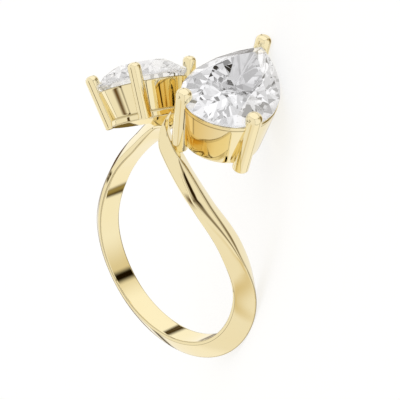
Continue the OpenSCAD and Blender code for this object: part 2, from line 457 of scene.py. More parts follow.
@dataclass(frozen=True)
class Prong:
    """A round rod between two places, with a small round at its foot and a domed head.

    The head is a superellipse, (r / R)^p + (z / H)^p = 1, so that it is flatter on top and
    rounder at its shoulder than a ball.
    """

    foot: Triple
    tip: Triple
    thickness: float
    head: float = 0.9
    power: float = 2.5
    foot_round: float = 0.14
    clear: float = 0.02
    around: int = 56
    rows: int = 90
    toe_rows: int = 5
    head_rows: int = 14

    ASIDE = (0.3, 0.9, 0.1)
    WORN_BELOW = 0.25

    def skin(self) -> Skin:
        """The rod in its setting's own millimetres.

        Returns:
            Its skin, with its head marked worn.
        """
        foot, tip, small = np.array(self.foot), np.array(self.tip), self.foot_round
        r, axis = self.thickness / 2, unit(tip - foot)
        length, dome = np.linalg.norm(tip - foot), self.head * r
        toe = np.linspace(0, np.pi / 2, self.toe_rows)
        bend = np.linspace(0, np.pi / 2, self.head_rows + 2)[1:-1]
        shaft = np.linspace(small + self.clear, length - self.clear, self.rows)
        inwards, upwards = (f(bend) ** (2 / self.power) for f in (np.cos, np.sin))
        radius = [r - small + small * np.sin(toe), np.full(self.rows, r), r * inwards]
        height = [small - small * np.cos(toe), shaft, length + dome * upwards]
        radius, height = np.concatenate(radius), np.concatenate(height)
        side = unit(np.cross(axis, self.ASIDE))
        turns = np.linspace(0, 2 * np.pi, self.around, endpoint=False)[:, None]
        around = np.cos(turns) * side + np.sin(turns) * np.cross(axis, side)
        rings = foot + height[:, None, None] * axis + radius[:, None, None] * around
        skin = tube(rings, foot, foot + (length + dome) * axis)
        worn = np.clip((height - length) / dome + self.WORN_BELOW, 0, 1)
        skin.marks["worn"] = np.append(np.repeat(worn, self.around), [0.0, 1.0])
        return skin


@dataclass(frozen=True)
class GoldFinish:
    """Polished 14 carat yellow gold.

    It leans to deep where it is cloudy, to pale where worn and to line on its edges, each by
    its share at most; line is a painted dark reflection along the edges. It is warm where the
    mark warm is 1, a painted reflection of gold in the gold beside it. Waves and buffing are
    scales in one over metres, buffed is the buffing lines' share of the height, and depth is
    in metres.
    """

    base: Colour = (0.93, 0.83, 0.54, 1.0)
    deep: Colour = (0.91, 0.78, 0.43, 1.0)
    pale: Colour = (0.95, 0.86, 0.61, 1.0)
    # Painted warm reflection of gold in gold, where the mark warm is 1.
    warm: Colour = (0.80, 0.54, 0.13, 1.0)
    # Painted dark reflection lines along the edges.
    line: Colour = (0.14, 0.085, 0.015, 1.0)
    deep_share: float = 0.35
    pale_share: float = 0.5
    line_share: float = 0.85
    roughness: float = 0.03
    waves: float = 420.0
    buffing: float = 9000.0
    buffed: float = 0.12
    bump: float = 0.12
    depth: float = 0.00002


@dataclass(frozen=True)
class DiamondFinish:
    """A clear cut stone with a faintly frosted girdle.

    Its tint leans to cloud, and its shadow lets the colour shadow through. Grain is the least
    and most roughness of the frost. A ray goes straight on after last bends.
    """

    tint: Colour = (1.0, 1.0, 1.0, 1.0)
    cloud: Colour = (0.99, 0.99, 1.0, 1.0)
    shadow: Colour = (0.92, 0.92, 0.92, 1.0)
    ior: float = 2.42
    grain: tuple[float, float] = (0.1, 0.3)
    waves: float = 900.0
    buffing: float = 20000.0
    last: float = 4.5


class Pen:
    """Adds nodes to a tree and links them, so that each material reads as a short list."""

    def __init__(self, tree: bpy.types.NodeTree) -> None:
        """Starts with an empty tree."""
        self.tree = tree
        tree.nodes.clear()

    def node(self, kind: str, values: dict | None = None, **settings: object) -> bpy.types.Node:
        """Adds a node.

        Args:
            kind: the node's type name, which is left without ShaderNode at its start.
            values: socket name or number to its value, or to an output to link there.
            **settings: the node's own properties.

        Returns:
            The new node.
        """
        new = self.tree.nodes.new(kind if kind.startswith("Node") else f"ShaderNode{kind}")
        for name, value in settings.items():
            setattr(new, name, value)
        for key, value in (values or {}).items():
            if isinstance(value, Socket):
                self.tree.links.new(value, new.inputs[key])
            else:
                new.inputs[key].default_value = value
        return new

    def maths(self, kind: str, *values: float | Socket) -> Socket:
        """The result of one sum, named as the Math node names it, of numbers or sockets."""
        return self.node("Math", dict(enumerate(values)), operation=kind).outputs[0]

    def vectors(self, kind: str, *values: Triple | Socket) -> Socket:
        """The result of one vector sum, named as the Vector Math node names it."""
        return self.node("VectorMath", dict(enumerate(values)), operation=kind).outputs[0]

    def mix(self, amount: float | Socket, a: Colour | Socket, b: Colour | Socket) -> Socket:
        """A colour that is a where amount is 0 and b where it is 1."""
        values = {"Factor": amount, "A": a, "B": b}
        return self.node("Mix", values, data_type="RGBA").outputs[2]

    def spread(self, value: Socket, span: tuple, onto: tuple, kind: str = "LINEAR") -> Socket:
        """A number moved from one span of numbers onto another, and held at its ends."""
        values = {"Value": value, 1: span[0], 2: span[1], 3: onto[0], 4: onto[1]}
        return self.node("MapRange", values, interpolation_type=kind).outputs[0]

    def mark(self, name: str) -> Socket:
        """The mesh's mark of that name."""
        return self.node("Attribute", attribute_name=name).outputs["Fac"]

    def polish(self, waves: float, lines: float, share: float = 0.0) -> dict[str, Socket]:
        """Places the group of polish marks, on the piece's own coordinates.

        Args:
            waves: scale of the broad waves.
            lines: scale of the fine lines.
            share: the fine lines' share of the height.

        Returns:
            Its outputs by name: Height, Cloud and Lines.
        """
        place = self.node("TexCoord").outputs["Object"]
        values = {"Place": place, "Wave scale": waves, "Line scale": lines, "Line share": share}
        return dict(self.node("Group", values, node_tree=polish_group()).outputs.items())

    def either(self, amount: Socket, a: Socket, b: Socket) -> Socket:
        """A shader that is a where amount is 0 and b where it is 1."""
        return self.node("MixShader", {"Fac": amount, 1: a, 2: b}).outputs[0]


def polish_group() -> bpy.types.NodeTree:
    """Shared marks of hand polishing: broad waves, fine buffing lines and slow cloudiness.

    Returns:
        The group, built once.
    """
    found = bpy.data.node_groups.get("hand_polish")
    if found:
        return found
    tree = bpy.data.node_groups.new("hand_polish", "ShaderNodeTree")
    pen = Pen(tree)
    for inout, names in (
        ("INPUT", ("Place", "Wave scale", "Line scale", "Line share")),
        ("OUTPUT", ("Height", "Cloud", "Lines")),
    ):
        for name in names:
            kind = "NodeSocketVector" if name == "Place" else "NodeSocketFloat"
            tree.interface.new_socket(name=name, in_out=inout, socket_type=kind)
    place, wave_scale, line_scale, line_share = list(pen.node("NodeGroupInput").outputs)[:4]
    drawn_out = pen.vectors("MULTIPLY", place, (0.12, 1.0, 0.35))
    names = ("Vector", "Scale", "Detail", "Roughness")
    waves, lines, cloud = (
        pen.node("TexNoise", dict(zip(names, values))).outputs["Fac"]
        for values in (
            (place, wave_scale, 1.0, 0.5),
            (drawn_out, line_scale, 3.0, 0.7),
            (place, 260.0, 4.0, 0.5),
        )
    )
    height = pen.node("Mix", {"Factor": line_share, "A": waves, "B": lines}).outputs["Result"]
    pen.node("NodeGroupOutput", {"Height": height, "Cloud": cloud, "Lines": lines})
    return tree


def new_material(name: str) -> tuple[bpy.types.Material, Pen]:
    """A new material of that name, and the pen for its nodes."""
    material = bpy.data.materials.new(name)
    material.use_nodes = True
    return material, Pen(material.node_tree)


def gold_material(name: str, finish: GoldFinish) -> bpy.types.Material:
    """Polished gold: paler where worn, with painted warm reflections and painted dark edge
    lines.

    Args:
        name: the material's name.
        finish: its colours and gloss.

    Returns:
        The material.
    """
    material, pen = new_material(name)
    polish = pen.polish(finish.waves, finish.buffing, finish.buffed)
    deep = pen.spread(polish["Cloud"], (0.35, 0.75), (0.0, finish.deep_share))
    colour = pen.mix(deep, finish.base, finish.deep)
    rubbed = pen.maths("MULTIPLY", pen.mark("worn"), finish.pale_share)
    colour = pen.mix(rubbed, colour, finish.pale)
    # Painted reflection of gold in gold, where marked warm.
    colour = pen.mix(pen.mark("warm"), colour, finish.warm)
    # Painted dark reflection lines along the edges.
    painted_edge_reflection = pen.maths("MULTIPLY", pen.mark("edge"), finish.line_share)
    colour = pen.mix(painted_edge_reflection, colour, finish.line)
    rough = (finish.roughness * 0.7, finish.roughness * 1.8)
    gloss = pen.spread(polish["Lines"], (0.3, 0.8), rough)
    values = {"Strength": finish.bump, "Distance": finish.depth, "Height": polish["Height"]}
    bump = pen.node("Bump", values).outputs[0]
    values = {"Base Color": colour, "Metallic": 1.0, "Roughness": gloss, "Normal": bump}
    skin = pen.node("BsdfPrincipled", values)
    pen.node("OutputMaterial", {"Surface": skin.outputs[0]})
    return material


def diamond_material(name: str, finish: DiamondFinish) -> bpy.types.Material:
    """A clear stone: polished facets, a frosted girdle, and a shadow that lets light through.

    Args:
        name: the material's name.
        finish: its tint and refraction.

    Returns:
        The material.
    """
    material, pen = new_material(name)
    polish = pen.polish(finish.waves, finish.buffing)
    frost = pen.maths("GREATER_THAN", pen.mark("girdle"), 0.98)
    grain = pen.spread(polish["Lines"], (0.3, 0.7), finish.grain)
    glass = pen.node(
        "BsdfPrincipled",
        {
            "Base Color": pen.mix(polish["Cloud"], finish.tint, finish.cloud),
            "Roughness": pen.maths("MULTIPLY", frost, grain),
            "IOR": finish.ior,
            "Transmission Weight": 1.0,
        },
    ).outputs[0]
    ray = pen.node("LightPath")
    clear = pen.node("BsdfTransparent", {"Color": finish.shadow}).outputs[0]
    late = pen.maths("GREATER_THAN", ray.outputs["Ray Depth"], finish.last)
    straight = pen.node("BsdfRefraction", {"Roughness": 0.0, "IOR": 1.0}).outputs[0]
    inside = pen.either(late, glass, straight)
    both = pen.either(ray.outputs["Is Shadow Ray"], inside, clear)
    pen.node("OutputMaterial", {"Surface": both})
    return material


@dataclass
class Band:
    """The band: two like halves, each turned half round from the other about the upright.

    Its section has six corners: inner front, front shoulder, the flat's edge, ridge, back
    shoulder and inner back. It is carried along a path round the finger hole. Each half's arm
    leaves the hole's wall at the top, crosses to its own side and ends in a blade beside the
    other's stone. Along the arm a flat is cut beside the ridge, pointed at both of its ends.

    radii, worn and lined have a number for each corner: its radius, how worn it is and how
    strong its edge line is, a painted dark reflection. inner_line and flat_line are that
    strength across the two inner corners and the flat's edge, and line_beside is that on the
    faces beside the ridge. The path's direction is taken between places tangent_rows to both
    sides.
    """

    bore_r: float = 8.45
    width: float = 2.1
    thickness: float = 1.8
    side: float = 0.3
    stock: float = 0.35
    crown: float = 0.03
    steps: int = 360
    arc: int = 6
    spans: int = 8
    radii: tuple[float, ...] = (0.20, 0.10, 3.5, 0.12, 0.10, 0.20)
    worn: tuple[float, ...] = (0.3, 0.6, 0.5, 1.0, 0.6, 0.3)
    # Strengths of the painted dark reflection lines, on each corner and across the flat's edge.
    lined: tuple[float, ...] = (0.0, 0.8, 0.0, 1.0, 0.8, 0.0)
    inner_line: tuple[float, ...] = (0, 0, 0.5, 0.5, 0, 0)
    flat_line: tuple[float, ...] = (0, 0.1, 1, 1, 0.1, 0)
    flat_least: float = 0.06
    flat_lined: float = 0.12
    line_beside: float = 0.8
    line_fade: float = 0.13
    tangent_rows: float = 0.05
    # Angle round the hole from +X, rise off its wall, shift to the front, twist of the
    # section in degrees, and size as a share of the full section. The first row is a point
    # of the other half, so that the two halves meet smoothly.
    rows: tuple[tuple[float, ...], ...] = (
        (-130, 0.00, 0.14, 0, 1.00),
        (-90, 0.00, 0.00, 0, 1.00),
        (-50, 0.00, -0.14, 0, 1.00),
        (-10, 0.00, 0.03, 0, 1.00),
        (20, 0.00, 1.00, 18, 0.99),
        (45, 0.10, 2.01, 17, 0.90),
        (64, 0.76, 2.25, 15, 0.83),
    )
    # The five corners of the arm's last sections, from where it has left the hole's wall.
    end_rows: tuple[tuple[Triple, ...], ...] = (
        ((3.84, -3.18, 8.05), (3.99, -3.24, 8.24), (4.94, -2.65, 9.37), (4.31, -1.50, 8.64),
         (4.16, -1.43, 8.44)),
        ((1.87, -2.69, 9.31), (1.95, -2.74, 9.52), (3.08, -2.28, 10.07), (2.59, -1.11, 9.56),
         (2.51, -1.06, 9.35)),
        ((0.90, -2.32, 9.90), (1.02, -2.34, 10.06), (1.98, -1.92, 10.60), (1.53, -0.80, 9.87),
         (1.40, -0.78, 9.71)),
        ((0.53, -2.03, 10.59), (0.72, -1.97, 10.71), (1.38, -1.76, 11.15), (0.84, -0.71, 10.34),
         (0.67, -0.71, 10.29)),
        ((0.60, -1.82, 11.37), (0.71, -1.79, 11.46), (1.08, -1.71, 11.77), (0.73, -0.92, 11.11),
         (0.60, -0.92, 11.13)),
        ((1.00, -1.70, 12.22), (1.04, -1.70, 12.26), (1.18, -1.71, 12.43), (1.00, -1.24, 12.05),
         (0.93, -1.24, 12.10)),
        ((1.69, -1.71, 13.12), (1.71, -1.71, 13.14), (1.76, -1.69, 13.22), (1.69, -1.56, 13.10),
         (1.67, -1.56, 13.12)),
    )
    # The flat beside the ridge: row number, width as a share of the front face, and how far
    # its edge stands out of that face.
    flat_rows: tuple[Triple, ...] = (
        (3.60, 0.00, 0.00),
        (4.15, 0.14, 0.03),
        (4.60, 0.30, 0.06),
        (5.00, 0.43, 0.08),
        (5.30, 0.55, 0.10),
        (5.60, 0.44, 0.09),
        (6.00, 0.33, 0.07),
        (6.50, 0.16, 0.03),
        (6.85, 0.00, 0.00),
    )

    @staticmethod
    def through(table: Array, u: Array) -> Array:
        """Reads a table between its rows, on a Catmull-Rom cubic through each row in turn.

        Args:
            table: rows of any shape.
            u: row numbers.

        Returns:
            One row for each number.
        """
        i = np.minimum(np.floor(u), len(table) - 2).astype(int)
        t = (u - i).reshape(-1, *[1] * (table.ndim - 1))
        a, b, c, d = (table[np.clip(i + k, 0, len(table) - 1)] for k in (-1, 0, 1, 2))
        return b + 0.5 * t * (
            (c - a) + t * ((2 * a - 5 * b + 4 * c - d) + t * (3 * (b - c) + d - a))
        )

    def path(self, u: Array) -> Array:
        """Middle of the inner face at row numbers u: angle and radius round the hole."""
        s = self.through(np.array(self.rows, float), u)
        r, angle = self.bore_r + s[:, 1], np.radians(s[:, 0])
        return np.stack([r * np.cos(angle), -s[:, 2], r * np.sin(angle)], axis=-1)

    def swept(self, u: Array) -> Array:
        """The five corners of each section along the path.

        The section stands across the path. Its back direction is the part of Y that is
        across the path, turned by the twist.

        Args:
            u: row numbers.

        Returns:
            Sections, five corners, coordinates.
        """
        s, p = self.through(np.array(self.rows, float), u), self.path(u)
        near = self.tangent_rows
        tangent = unit(self.path(u + near) - self.path(u - near))
        y = np.array([0.0, 1.0, 0.0])
        flat_back = unit(y - (tangent @ y)[:, None] * tangent)
        flat_out = np.cross(flat_back, tangent)
        twist, size = np.radians(s[:, 3:4]), s[:, 4:5]
        out = np.cos(twist) * flat_out - np.sin(twist) * flat_back
        back = np.cos(twist) * flat_back + np.sin(twist) * flat_out
        half = self.width / 2 * size * back
        stock = self.stock * np.maximum(0, 1 - s[:, 1:2] / self.stock) * out
        shoulder, ridge = self.side * size * out, p + self.thickness * size * out
        front = [p - half - stock, p - half + shoulder]
        return np.stack([*front, ridge, p + half + shoulder, p + half - stock], axis=1)

    def trim(self, inner: Array, shoulder: Array) -> Array:
        """Moves the inner corners that lie in the finger hole out to its wall.

        A corner moves along the line to its shoulder, as far as the larger root s of
        |corner + s way| = bore_r, seen along Y.

        Args:
            inner: the inner corners.
            shoulder: the corner beside each.

        Returns:
            The moved corners.
        """
        way = unit(shoulder - inner)
        e, o = inner[:, [0, 2]], way[:, [0, 2]]
        a, b = (o * o).sum(1), (e * o).sum(1)
        c = (e * e).sum(1) - self.bore_r**2
        root = (-b + np.sqrt(np.maximum(b * b - a * c, 0))) / a
        return inner + np.where(c < 0, root, 0.0)[:, None] * way

    @staticmethod
    def normal(across: Array, edge: Array, away: Array) -> Array:
        """Unit normals of a face, from ways across it and its edge, on the side of away."""
        out = unit(np.cross(across, np.gradient(edge, axis=0)))
        return out * np.sign((out * away).sum(-1, keepdims=True))

    def flat_at(self, u: Array) -> tuple[Array, Array]:
        """The flat's width as a share of the front face, and how far it stands out, at u."""
        at, share, stand = np.array(self.flat_rows).T
        return np.interp(u, at, share), np.interp(u, at, stand)

    def corners(self, u: Array) -> Array:
        """Six corners of each section: the swept five, or the arm's end, and the flat's edge.

        Args:
            u: row numbers, from 1 at the bottom to the arm's tip.

        Returns:
            Sections, six corners, coordinates.
        """
        last = len(self.rows) - 2
        table = np.concatenate([self.swept(np.arange(last + 1.0)), np.array(self.end_rows)])
        five = self.through(table, u)
        on_path = u <= last
        five[on_path] = self.swept(u[on_path])
        for inner, beside in ((0, 1), (4, 3)):
            five[:, inner] = self.trim(five[:, inner], five[:, beside])
        share, stand = (v[:, None] for v in self.flat_at(u))
        shoulder, ridge, behind = five[:, 1], five[:, 2], five[:, 3]
        face = ridge - shoulder
        out = self.normal(face, ridge, ridge - behind - 0.5 * face)
        edge = ridge - np.maximum(share, self.flat_least) * face + stand * out
        return np.concatenate([five[:, :2], edge[:, None], five[:, 2:]], axis=1)

    def swell(self, line: Array, corners: Array, after: int) -> None:
        """Swells one face of every section outwards, by crown times 4s(1-s) along it.

        Args:
            line: the rounded sections, changed in place.
            corners: their corners.
            after: number of the corner before the face.
        """
        first = after * (self.arc + self.spans) + self.arc
        face = line[:, first : first + self.spans]
        across = corners[:, after + 1] - corners[:, after]
        away = corners[:, after] - corners[:, [0, 1, 4, 5]].mean(1)
        out = self.normal(across, corners[:, after + 1], away)
        share = ((face - corners[:, None, after]) * across[:, None]).sum(-1)
        share = share / (across * across).sum(-1)[:, None]
        height = self.crown * np.minimum(1, np.linalg.norm(across, axis=-1))[:, None]
        face += (height * 4 * share * (1 - share))[..., None] * out[:, None]

    def marked(self, corners: Array, strengths: tuple[float, ...]) -> Array:
        """Marks that are strongest in the middle of each rounded corner.

        Args:
            corners: the sections' six corners.
            strengths: one for each of the six.

        Returns:
            Sections, corners, points of a corner and of the edge after it.
        """
        marks = np.zeros((len(corners), 6, self.arc + self.spans))
        marks[..., : self.arc] = hump(self.arc) * np.array(strengths)[:, None]
        return marks

    def painted_edge_reflections(self, u: Array, corners: Array) -> Array:
        """Painted dark reflection lines: on the corners, and fading out on both faces beside
        the ridge.

        A face's line is line_beside at the ridge and falls in a straight line to nothing at
        line_fade from it. The flat's own edge has its line where the flat is wide enough.

        Args:
            u: row numbers of the sections.
            corners: their six corners.

        Returns:
            Sections, corners, points of a corner and of the edge after it.
        """
        arc, cuts = self.arc, crowded(self.spans)
        lined = self.marked(corners, self.lined)
        lined[:, [0, 5], :arc] = np.array(self.inner_line)
        wide = np.minimum(self.flat_at(u)[0] / self.flat_lined, 1)
        lined[:, 2, :arc] = wide[:, None] * np.array(self.flat_line)
        for corner, away in ((2, 1 - cuts), (3, cuts)):
            face = np.linalg.norm(corners[:, [corner + 1]] - corners[:, [corner]], axis=-1)
            fall = np.maximum(0, 1 - away * face / self.line_fade)
            lined[:, corner, arc:] = self.line_beside * fall
        return lined

    def both(self, half: Array) -> Array:
        """Rows for the whole band, from those of one half.

        The other half takes the same rows backwards, and each of them backwards too. They
        start at the same corner once the last edge's cuts are rolled to their end.

        Args:
            half: sections, points round each, and perhaps coordinates.

        Returns:
            The other half's rows and then the given ones.
        """
        return np.concatenate([np.roll(half[:0:-1, ::-1], -self.spans, axis=1), half])

    def skin(self) -> Skin:
        """The whole band, from the end of one arm round the bottom to the other's.

        Returns:
            Its skin, with its corners marked worn and its edges lined with painted dark
            reflections.
        """
        u = np.linspace(1, len(self.rows) + len(self.end_rows) - 2, self.steps + 1)
        corners = self.corners(u)
        half = rounded(corners, np.array(self.radii), True, self.arc, self.spans)
        for after in (1, 3):
            self.swell(half, corners, after)
        rings = self.both(half)
        rings[: len(half) - 1, :, :2] *= -1.0
        push = np.maximum(self.bore_r / np.hypot(rings[..., 0], rings[..., 2]), 1.0)
        rings[..., [0, 2]] *= push[..., None]
        skin = tube(rings)
        # The mark edge carries the painted dark reflection lines.
        for name, marks, poles in (
            ("worn", self.marked(corners, self.worn), 0.5),
            ("edge", self.painted_edge_reflections(u, corners), 0.0),
        ):
            marks = self.both(marks.reshape(len(half), -1))
            skin.marks[name] = np.append(marks.ravel(), [poles, poles])
        return skin


@dataclass
class Setting:
    """What both settings have: a place, a stone with a gap round it, and prongs."""

    placing: Placing
    stone: Brilliant
    gap: float = 0.06

    def placed(self, skin: Skin) -> Skin:
        """A skin of the setting's own millimetres, put in its place on the ring."""
        return Skin(self.placing.put(skin.points), skin.faces, skin.marks)

    def rods(self, ends: list[tuple[Triple, Triple]], thickness: float) -> Skin:
        """Prongs, notched where the stone's edge sits in them.

        Args:
            ends: the foot and the tip of each.
            thickness: their diameter.

        Returns:
            One skin of them all.
        """
        skins = [Prong(foot, tip, thickness).skin() for foot, tip in ends]
        for rod in skins:
            rod.points = self.stone.carve(rod.points, self.gap)
        return joined(skins)


@dataclass
class RoundSetting(Setting):
    """The round stone's setting: a flaring wall on a plate, and four prongs.

    Its profile has nine corners, and radii has one radius for each. lined is the strength of
    the painted dark reflection lines on the plate's two corners and on the wall's foot and top.
    """

    placing: Placing = Placing((-4.0, 0.4, 13.06), 30.6, 159.3, -24.5)
    stone: Brilliant = Brilliant(Outline(Cut.ROUND, 7.5, 7.5), 0.0, 0.45)
    wall_foot_z: float = -2.5
    wall_top_r: float = 3.65
    wall_foot_r: float = 2.90
    wall_t: float = 0.6
    lip_z: float = -0.33
    plate_foot_z: float = -3.05
    plate_r: float = 3.25
    pole_r: float = 0.02
    foot_out: float = 0.03
    radii: tuple[float, ...] = (0, 0.14, 0.16, 0.12, 0.10, 0.03, 0.04, 0.2, 0)
    # Strengths of the painted dark reflection lines.
    lined: tuple[float, ...] = (0.5, 0.5, 0.7, 0.8)
    arc: int = 6
    spans: int = 6
    around: int = 128
    prong_top: tuple[float, float] = (4.10, 1.05)
    prong_foot_r: float = 3.20
    prong_d: float = 1.1

    def wall(self) -> Skin:
        """Wall and plate: one closed profile turned about the setting's own Z.

        Returns:
            Its skin, with its outer edges lined.
        """
        heights = np.array([0.0, self.lip_z])
        seat, lip = self.stone.room(np.zeros(2), heights, self.gap)
        corners = [
            [self.pole_r, self.plate_foot_z],
            [self.plate_r, self.plate_foot_z],
            [self.plate_r, self.wall_foot_z],
            [self.wall_foot_r + self.foot_out, self.wall_foot_z],
            [self.wall_top_r, 0.0],
            [seat, 0.0],
            [lip, self.lip_z],
            [self.wall_foot_r - self.wall_t, self.wall_foot_z],
            [self.pole_r, self.wall_foot_z],
        ]
        arc, each = self.arc, self.arc + self.spans
        line = rounded(np.array(corners), np.array(self.radii), False, arc, self.spans)
        turns = np.linspace(0, 2 * np.pi, self.around, endpoint=False)
        r, z = line[:, :1], np.broadcast_to(line[:, 1:], (len(line), self.around))
        rings = np.stack([r * np.cos(turns), r * np.sin(turns), z], axis=-1)
        poles = (np.array([0, 0, z]) for z in (self.plate_foot_z, self.wall_foot_z))
        skin = tube(rings, *poles)
        # Painted dark reflection lines, strongest in the middle of the marked corners.
        # The profile starts at the last point of its first corner.
        lined = np.zeros(len(line))
        for corner, strength in enumerate(self.lined, 1):
            first = each * corner - arc + 1
            lined[first : first + arc] = strength * hump(arc)
        skin.marks["edge"] = np.append(np.repeat(lined, self.around), [0.0, 0.0])
        return skin

    def prongs(self) -> Skin:
        """Four rods, a quarter turn apart."""
        foot_r, (top_r, top_z), ends = self.prong_foot_r, self.prong_top, []
        for turn in np.arange(4) * math.pi / 2:
            c, s = math.cos(turn), math.sin(turn)
            foot = (foot_r * c, foot_r * s, self.plate_foot_z)
            ends.append((foot, (top_r * c, top_r * s, top_z)))
        return self.rods(ends, self.prong_d)


@dataclass
class PearSetting(Setting):
    """The pear stone's setting: a flaring wall on a pear outline, and three prongs.

    Heights that end in drop are below the wall's top, and line is the strength of the painted
    dark reflection line there. Inside, the wall keeps inner_gap off its rim, and inner_step
    more for each row down. Its turns begin at start, in radians, so that no point lies on the
    axis. The warm mark is a painted reflection of the arm's gold in the wall: it rises over
    the heights of warm_z, and comes and goes between the headings of warm_from, in degrees.
    """

    placing: Placing = Placing((3.45, 4.01, 14.40), 13.5, 7.5, -68.2)
    stone: Brilliant = Brilliant(Outline(Cut.PEAR, 12.95, 7.75), 0.9, 0.0)
    top_z: float = -0.2
    foot_z: float = -4.4
    grow: float = 0.05
    foot_share: float = 0.80
    wall_t: float = 0.7
    rim_round: float = 0.16
    foot_round: float = 0.08
    bend_rows: int = 6
    rows: int = 24
    around: int = 240
    rows_drop: float = 0.37
    line_drop: float = 0.28
    clear_drop: float = 0.19
    seat_drop: float = 0.9
    seat_rows: int = 19
    inner_z: float = -1.3
    inner_rows: int = 12
    inner_gap: float = 0.01
    inner_step: float = 0.004
    # Strength of the painted dark reflection line below the rim.
    line: float = 0.9
    start: float = 0.01
    # Where the painted warm reflection rises, and where it comes and goes.
    warm_z: tuple[float, float] = (-3.9, -3.5)
    warm_from: tuple[float, ...] = (-85, -60, -30, 26)
    prong_top_z: float = 0.5
    prong_foot_z: float = -4.75
    side_prong: tuple[float, float] = (4.95, 2.98)
    tip_prong_x: float = 6.64
    prong_foot_share: float = 0.88
    prong_d: float = 1.35

    def share(self, z: float, top: float, foot: float) -> float:
        """Scale of the outline at height z: 1 at the height top, foot_share at foot."""
        return 1 - (1 - self.foot_share) * (top - z) / (top - foot)

    def wall(self) -> Skin:
        """The wall: outside and inside as distances from the stone's middle, by height.

        The inside is the larger of two distances, the wall's own inner face and the edge of
        the stone's room, so the seat comes out as cut.

        Returns:
            Its skin, with a painted dark reflection line below its rim and its side marked for
            the painted warm reflection.
        """
        outline, middle = self.stone.outline, self.stone.centre
        top, base, small, rim = self.top_z, self.foot_z, self.foot_round, self.rim_round
        turns = np.linspace(0, 2 * np.pi, self.around, endpoint=False) + self.start
        at = outline.at(turns)
        heading = np.arctan2(at[:, 1], at[:, 0] - middle)
        bend = np.linspace(0, np.pi / 2, self.bend_rows)
        straight = np.linspace(base + small, top - self.rows_drop, self.rows)[1:]
        edge = top - np.array([self.line_drop, self.clear_drop])
        foot_z, rim_z = base + small * (1 - np.cos(bend)), top - rim * (1 - np.sin(bend))
        out_z = np.concatenate([foot_z, straight, edge, rim_z])
        flat = np.zeros(len(straight) + len(edge))
        inset = np.concatenate([small * (1 - np.sin(bend)), flat, rim * (1 - np.cos(bend))])
        far = [
            outline.reach(heading, middle, self.grow, self.share(z, top, base)) - less
            for z, less in zip(out_z, inset)
        ]
        seat = np.linspace(top, top - self.seat_drop, self.seat_rows)
        in_z = np.concatenate([seat, np.linspace(self.inner_z, base, self.inner_rows)])
        top_out = far[-1]
        for index, z in enumerate(in_z):
            share = self.share(z, 1.0, base - 1)
            own = outline.reach(heading, middle, self.grow - self.wall_t, share)
            room = self.stone.room(heading, np.full(self.around, z), self.gap)
            inside = top_out - self.inner_gap - self.inner_step * index
            far.append(np.minimum(np.maximum(own, room), inside))
        far = np.array(far)
        z = np.broadcast_to(np.concatenate([out_z, in_z])[:, None], far.shape)
        rings = [middle + far * np.cos(heading), far * np.sin(heading), z]
        loops = np.stack(rings, axis=-1)[:, ::-1]
        m, n = far.shape
        here = np.arange(m * n).reshape(m, n)
        after, above = np.roll(here, -1, axis=1), np.roll(here, -1, axis=0)
        faces = np.stack([here, above, np.roll(above, -1, axis=1), after], axis=-1)
        lined, warm = np.zeros((2, m, n))
        # Painted dark reflection line below the rim.
        lined[len(bend) + len(straight)] = self.line
        # Painted warm reflection of the arm's gold, on the side beside the arm.
        fade = np.interp(np.degrees(heading)[::-1], self.warm_from, (0, 1, 1, 0))
        rise = np.interp(out_z, self.warm_z, (0, 1))
        warm[: len(out_z)] = rise[:, None] * fade * fade * (3 - 2 * fade)
        marks = {"edge": lined.ravel(), "warm": warm.ravel()}
        return Skin(loops.reshape(-1, 3), [faces.reshape(-1, 4)], marks)

    def prongs(self) -> Skin:
        """Three rods: two at the round end and one at the point."""
        (x, y), k = self.side_prong, self.prong_foot_share
        ends = [
            ((k * px, k * py, self.prong_foot_z), (px, py, self.prong_top_z))
            for px, py in ((x, y), (x, -y), (-self.tip_prong_x, 0.0))
        ]
        return self.rods(ends, self.prong_d)


@dataclass(frozen=True)
class Shade:
    """A soft patch of the studio, as seen from the ring as it stands upright.

    Attributes:
        compass: its direction round the upright, in degrees from +X.
        height: its direction above the level, in degrees.
        across: its half width as a share of the distance to it, level.
        along: its half width upwards.
        turn: its own turn in degrees, anticlockwise as the ring sees it.
        colour: what it shows in its middle.
        soft: share of its half width over which it fades out.
    """

    compass: float
    height: float
    across: float
    along: float
    turn: float
    colour: Triple
    soft: float = 0.8

    def axes(self) -> Array:
        """Three laid axes as columns: across, along and towards the patch."""
        return REST.turn() @ facing(self.compass + 90, self.height) @ turn_about("z", self.turn)


@dataclass(frozen=True)
class Tent:
    """A box of white cloth panels round the ring, as the ring stands upright in it.

    Its seams are dark. They are thin halfway along and broad at the box's corners.

    Attributes:
        ahead: distances from the ring to the panels at +X, +Y and +Z.
        behind: distances to the panels at -X, -Y and -Z.
        panels: colours of the panels at +X, -X, +Y, -Y, +Z and -Z.
        seam: the seams' colour at their darkest.
        thin: half width of a seam halfway along, as a share of half a panel.
        broad: what its half width gains at a corner.
    """

    ahead: Triple = (0.88, 1.0, 0.95)
    behind: Triple = (1.13, 0.50, 1.17)
    panels: tuple[Triple, ...] = (
        (0.99, 0.97, 0.94),
        (1.05, 1.03, 1.00),
        (0.93, 0.90, 0.84),
        (0.93, 0.90, 0.85),
        (1.07, 1.05, 1.02),
        (1.00, 0.97, 0.93),
    )
    seam: Triple = (0.06, 0.035, 0.005)
    thin: float = 0.08
    broad: float = 0.12

    TIE = 0.0001


